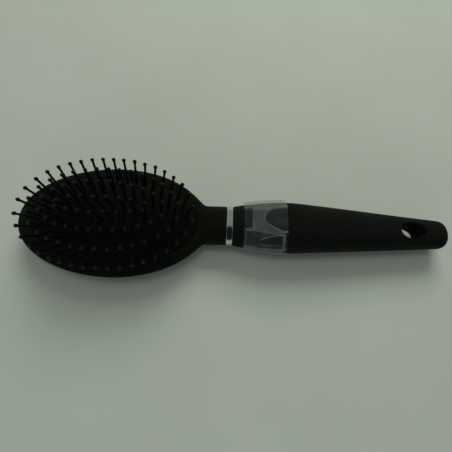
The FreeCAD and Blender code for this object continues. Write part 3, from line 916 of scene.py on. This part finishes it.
class Paint:
    """A procedural material in the making: one Principled shader and the nodes that feed it."""

    def __init__(self, name):
        self.material = bpy.data.materials.new(name)
        self.material.use_nodes = True
        self.tree = self.material.node_tree
        self.shader = next(n for n in self.tree.nodes if n.type == "BSDF_PRINCIPLED")
        self.place = self.node("ShaderNodeTexCoord").outputs["Object"]

    def node(self, kind, **settings):
        """New node of a kind, with its settings."""
        made = self.tree.nodes.new(kind)
        for key, value in settings.items():
            setattr(made, key, value)
        return made

    def link(self, source, target):
        """Joins an output to an input."""
        self.tree.links.new(source, target)

    def set(self, **values):
        """Constants on the shader's own inputs."""
        for key, value in values.items():
            self.shader.inputs[key.replace("_", " ")].default_value = value

    def noise(self, size_mm, detail=3.0, roughness=0.55, stretch=None):
        """Noise whose features are about size_mm across."""
        source = self.place
        if stretch:
            mapping = self.node("ShaderNodeMapping")
            mapping.inputs["Scale"].default_value = stretch
            self.link(source, mapping.inputs["Vector"])
            source = mapping.outputs["Vector"]
        made = self.node("ShaderNodeTexNoise")
        made.inputs["Scale"].default_value = 1 / (size_mm * MM)
        made.inputs["Detail"].default_value = detail
        made.inputs["Roughness"].default_value = roughness
        self.link(source, made.inputs["Vector"])
        return made.outputs["Fac"]

    def spread(self, value, low, high, to_low, to_high):
        """Value from low..high spread over to_low..to_high, clamped."""
        made = self.node("ShaderNodeMapRange")
        for key, number in (("From Min", low), ("From Max", high), ("To Min", to_low), ("To Max", to_high)):
            made.inputs[key].default_value = number
        self.link(value, made.inputs["Value"])
        return made.outputs["Result"]

    def math(self, operation, a, b):
        """Result of a sum on two numbers or outputs."""
        made = self.node("ShaderNodeMath", operation=operation)
        for socket, value in zip(made.inputs, (a, b)):
            if isinstance(value, (int, float)):
                socket.default_value = value
            else:
                self.link(value, socket)
        return made.outputs["Value"]

    def mix(self, factor, a, b):
        """Mix of two colours by a factor."""
        return mix_colours(self.tree, factor, a, b)

    def colour(self, value):
        """Feeds the shader's base colour."""
        self.link(value, self.shader.inputs["Base Color"])

    def rough(self, value):
        """Feeds the shader's roughness."""
        self.link(value, self.shader.inputs["Roughness"])

    def bump(self, height, depth_mm, strength=1.0, before=None):
        """Bump of a depth, on top of the one before, that feeds the shader."""
        made = self.node("ShaderNodeBump")
        made.inputs["Strength"].default_value = strength
        made.inputs["Distance"].default_value = depth_mm * MM
        self.link(height, made.inputs["Height"])
        if before is not None:
            self.link(before, made.inputs["Normal"])
        self.link(made.outputs["Normal"], self.shader.inputs["Normal"])
        return made.outputs["Normal"]


def shell_material():
    """Satin black moulding: fine spark-eroded grain, faint flow marks, a few rubbed spots and dust."""
    paint = Paint("satin_black_moulding")
    paint.set(Specular_IOR_Level=0.05)
    patches = paint.noise(14, 4)
    base = paint.mix(paint.spread(patches, 0.35, 0.7, 0, 1),
                     (0.0056, 0.0067, 0.0044), (0.0076, 0.0087, 0.0061))
    dust = paint.spread(paint.noise(0.7, 1.0), 0.74, 0.8, 0, 1)
    paint.colour(paint.mix(dust, base, (0.016, 0.017, 0.015)))
    scuffs = paint.noise(3, 5, 0.6, (0.35, 1.4, 1.0))
    paint.rough(paint.spread(scuffs, 0.3, 0.75, 0.42, 0.58))
    grain = paint.bump(paint.noise(0.28, 2.0), 0.02, 0.55)
    paint.bump(paint.noise(5, 2.0), 0.05, 0.35, grain)
    return paint.material


def rubber_material():
    """Matt black rubber skin with a fine grain and a little dust."""
    paint = Paint("black_rubber_membrane")
    paint.set(Specular_IOR_Level=0.05)
    patches = paint.noise(6, 4)
    base = paint.mix(paint.spread(patches, 0.3, 0.7, 0, 1),
                     (0.0037, 0.0048, 0.0028), (0.0055, 0.0066, 0.0043))
    dust = paint.spread(paint.noise(0.5, 1.0), 0.72, 0.8, 0, 1)
    paint.colour(paint.mix(dust, base, (0.014, 0.015, 0.013)))
    paint.rough(paint.spread(patches, 0.3, 0.7, 0.55, 0.7))
    grain = paint.bump(paint.noise(0.2, 2.0), 0.02, 0.6)
    paint.bump(paint.noise(2.4, 2.0), 0.06, 0.4, grain)
    return paint.material


def nylon_material():
    """Glossy black nylon with faint moulding streaks along the stems."""
    paint = Paint("black_nylon")
    paint.set(Specular_IOR_Level=0.32)
    streaks = paint.noise(0.9, 2.0, 0.5, (1.0, 1.0, 0.25))
    base = paint.mix(paint.spread(streaks, 0.3, 0.7, 0, 1),
                     (0.0014, 0.0018, 0.0015), (0.0030, 0.0035, 0.0030))
    paint.colour(base)
    paint.rough(paint.spread(streaks, 0.3, 0.7, 0.3, 0.42))
    paint.bump(paint.noise(0.6, 2.0), 0.02, 0.4)
    return paint.material


def chrome_material():
    """Mirror chrome with hairline polishing marks round the ring and a trace of haze."""
    paint = Paint("mirror_chrome")
    paint.set(Metallic=1.0)
    hair = paint.noise(0.5, 3.0, 0.6, (3.0, 0.12, 0.12))
    haze = paint.noise(2.5, 3.0)
    paint.colour(paint.mix(paint.spread(haze, 0.3, 0.75, 0, 1), (0.74, 0.74, 0.72), (0.64, 0.64, 0.62)))
    paint.rough(paint.spread(haze, 0.35, 0.75, 0.07, 0.16))
    paint.bump(hair, 0.004, 0.35)
    return paint.material


def grip_material():
    """Soft-touch coating: matt, warm black, a fine peel and paler where hands rub it."""
    paint = Paint("soft_touch_coating")
    paint.set(Specular_IOR_Level=0.04)
    rubbed = paint.noise(22, 4)
    base = paint.mix(paint.spread(rubbed, 0.35, 0.7, 0, 1),
                     (0.0074, 0.0083, 0.0064), (0.0096, 0.0103, 0.0082))
    specks = paint.spread(paint.noise(0.55, 1.0), 0.74, 0.8, 0, 1)
    paint.colour(paint.mix(specks, base, (0.018, 0.018, 0.016)))
    paint.rough(paint.spread(rubbed, 0.3, 0.75, 0.62, 0.48))
    peel = paint.bump(paint.noise(0.35, 2.0), 0.018, 0.6)
    paint.bump(paint.noise(4, 2.0), 0.04, 0.3, peel)
    return paint.material


def core_material():
    """Dark moulded plastic of the handle's core."""
    paint = Paint("core_moulding")
    patches = paint.noise(8, 3)
    paint.colour(paint.mix(paint.spread(patches, 0.3, 0.7, 0, 1), (0.02, 0.02, 0.02), (0.03, 0.03, 0.03)))
    paint.rough(paint.spread(patches, 0.3, 0.7, 0.45, 0.6))
    paint.bump(paint.noise(0.4, 2.0), 0.02, 0.5)
    return paint.material


def film_material():
    """Clear film: it mirrors more where it stands off the grip, and is hazier along folds, creases, pressed
    outlines and cut edges, which is partly milky film and partly a painted highlight.
    """
    paint = Paint("clear_creased_film")
    paint.set(IOR=1.5, Metallic=0.78)
    cling = paint.node("ShaderNodeAttribute", attribute_name="cling").outputs["Fac"]
    crease = paint.node("ShaderNodeAttribute", attribute_name="crease").outputs["Fac"]
    cloud = paint.noise(5, 4)
    scratches = paint.noise(1.2, 4, 0.65, (0.5, 2.2, 2.2))
    haze = paint.spread(cling, 0, 1, 0.13, 0.06)
    haze = paint.math("MULTIPLY", haze, paint.spread(cloud, 0.3, 0.7, 0.75, 1.25))
    # creases, folds and cut edges add haze: partly milky film, partly a painted highlight
    haze = paint.math("ADD", haze, paint.math("MULTIPLY", crease, 0.22))
    haze = paint.math("ADD", haze, paint.spread(scratches, 0.62, 0.75, 0, 0.03))
    rim = paint.node("ShaderNodeLayerWeight")
    rim.inputs["Blend"].default_value = 0.25
    haze = paint.math("ADD", haze, paint.math("MULTIPLY", rim.outputs["Facing"], 0.1))
    paint.link(paint.math("MINIMUM", haze, 0.8), paint.shader.inputs["Alpha"])
    paint.colour(paint.mix(cloud, (0.50, 0.55, 0.52), (0.60, 0.66, 0.62)))
    paint.rough(paint.spread(cloud, 0.3, 0.7, 0.12, 0.25))
    paint.bump(paint.noise(3.5, 3.0), 0.15, 0.35)
    return paint.material


def floor_material():
    """Pale matt paper."""
    paint = Paint("pale_floor")
    paint.set(Specular_IOR_Level=0.15)
    patches = paint.noise(60, 3)
    paint.colour(paint.mix(paint.spread(patches, 0.3, 0.7, 0, 1),
                           (0.585, 0.64, 0.545), (0.61, 0.665, 0.57)))
    paint.rough(paint.spread(patches, 0.3, 0.7, 0.75, 0.85))
    paint.bump(paint.noise(1.5, 3.0), 0.03, 0.25)
    return paint.material


# Stage

def make_floor():
    """Wide flat floor, a hair below the brush."""
    size = 5000.0
    lift = -0.05
    corners = [(-size, -size, lift), (size, -size, lift), (size, size, lift), (-size, size, lift)]
    floor = mesh_object("floor", corners, [(0, 1, 2, 3)])
    floor.data.materials.append(floor_material())


def make_light(name, place, target, size, watts, colour):
    """Rectangular soft box at a place, in millimetres, facing a target. It shows in no reflection."""
    lamp = bpy.data.lights.new(name, "AREA")
    lamp.shape = "RECTANGLE"
    lamp.size = size[0] * MM
    lamp.size_y = size[1] * MM
    lamp.energy = watts
    lamp.color = colour
    obj = bpy.data.objects.new(name, lamp)
    obj.location = Vector(place) * MM
    obj.rotation_mode = "QUATERNION"
    obj.rotation_quaternion = (Vector(target) - Vector(place)).to_track_quat("-Z", "Y")
    obj.visible_glossy = False
    bpy.context.scene.collection.objects.link(obj)


def make_sky():
    """Light tent that is darker on one side. Where it is seen directly it is a plain pale backdrop."""
    world = bpy.data.worlds.new("light_tent")
    world.use_nodes = True
    tree = world.node_tree
    way = tree.nodes.new("ShaderNodeTexCoord").outputs["Generated"]
    toward = tree.nodes.new("ShaderNodeVectorMath")
    toward.operation = "DOT_PRODUCT"
    toward.inputs[1].default_value = Vector(DARK_SIDE).normalized()
    tree.links.new(way, toward.inputs[0])
    fade = tree.nodes.new("ShaderNodeMapRange")
    fade.interpolation_type = "SMOOTHSTEP"
    fade.inputs["From Min"].default_value = DARK_SIDE_EDGE[0]
    fade.inputs["From Max"].default_value = DARK_SIDE_EDGE[1]
    tree.links.new(toward.outputs["Value"], fade.inputs["Value"])
    tent = mix_colours(tree, fade.outputs["Result"], TENT_COLOUR, DARK_SIDE_COLOUR)
    seen = tree.nodes.new("ShaderNodeLightPath").outputs["Is Camera Ray"]
    colour = mix_colours(tree, seen, tent, BACKDROP_COLOUR)
    tree.links.new(colour, tree.nodes["Background"].inputs["Color"])
    bpy.context.scene.world = world


def make_studio():
    """Three soft boxes inside the light tent."""
    middle = (0.0, 0.0, 15.0)
    make_light("key_behind", (150, 840, 660), middle, (640, 480), 6.1, (1.0, 1.0, 0.94))
    make_light("fill_front", (-150, -700, 170), middle, (700, 240), 1.2, (0.92, 0.98, 1.0))
    make_light("top", (-40, 60, 620), middle, (160, 160), 0.3, (1.0, 1.0, 1.0))
    make_sky()
    bpy.context.scene.view_settings.view_transform = "Standard"


def make_camera():
    """Steep, close and slightly rolled camera."""
    data = bpy.data.cameras.new("camera")
    data.sensor_width = 36.0
    data.lens = CAMERA_LENS
    data.clip_start = 0.005
    data.clip_end = 20.0
    level = math.cos(CAMERA_ELEVATION)
    back = Vector((level * math.sin(CAMERA_AZIMUTH), -level * math.cos(CAMERA_AZIMUTH),
                   math.sin(CAMERA_ELEVATION)))
    camera = bpy.data.objects.new("camera", data)
    camera.location = (CAMERA_TARGET + back * CAMERA_DISTANCE) * MM
    camera.rotation_mode = "QUATERNION"
    roll = Matrix.Rotation(CAMERA_ROLL, 4, back).to_quaternion()
    camera.rotation_quaternion = roll @ (-back).to_track_quat("-Z", "Y")
    bpy.context.scene.collection.objects.link(camera)
    bpy.context.scene.camera = camera


# Assembly

def place(piece, material, body, slot, *nodes):
    """Gives a finished piece its material and body, and hides the CAD nodes it stands for. slot is not used."""
    piece.data.materials.clear()
    piece.data.materials.append(material)
    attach(piece, body)
    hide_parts(*nodes)


def build():
    """Makes every piece in turn, gives it its material and body, and hides the CAD nodes it stands for."""
    nylon = nylon_material()
    every_pin = []
    rand = random.Random(7)
    bodies = frame["record"]["behaviour"]["bodies"]
    for ring, body in PIN_RINGS.items():
        for node in sorted(n for n in bodies[body] if n.startswith(ring)):
            axes = pin_axes(node)
            every_pin += axes
            place(make_pins(node, axes, rand), nylon, body, "pin_nylon", node)

    pad = make_cushion(every_pin)
    place(pad, rubber_material(), "root", "cushion_rubber", "cushion_pad")
    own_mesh(pad)

    place(make_head_shell(), shell_material(), "root", "shell_black", "head_shell")
    place(make_ferrule(), chrome_material(), "root", "ferrule_chrome", "ferrule")
    place(make_grip(), grip_material(), "root", "grip_soft_touch", "grip_sleeve")
    place(make_film(), film_material(), "root", "film_clear", "clear_film_band")

    core = frame["nodes"]["grip_core"]
    core.data.materials.clear()
    core.data.materials.append(core_material())


build()
make_floor()
make_studio()
make_camera()
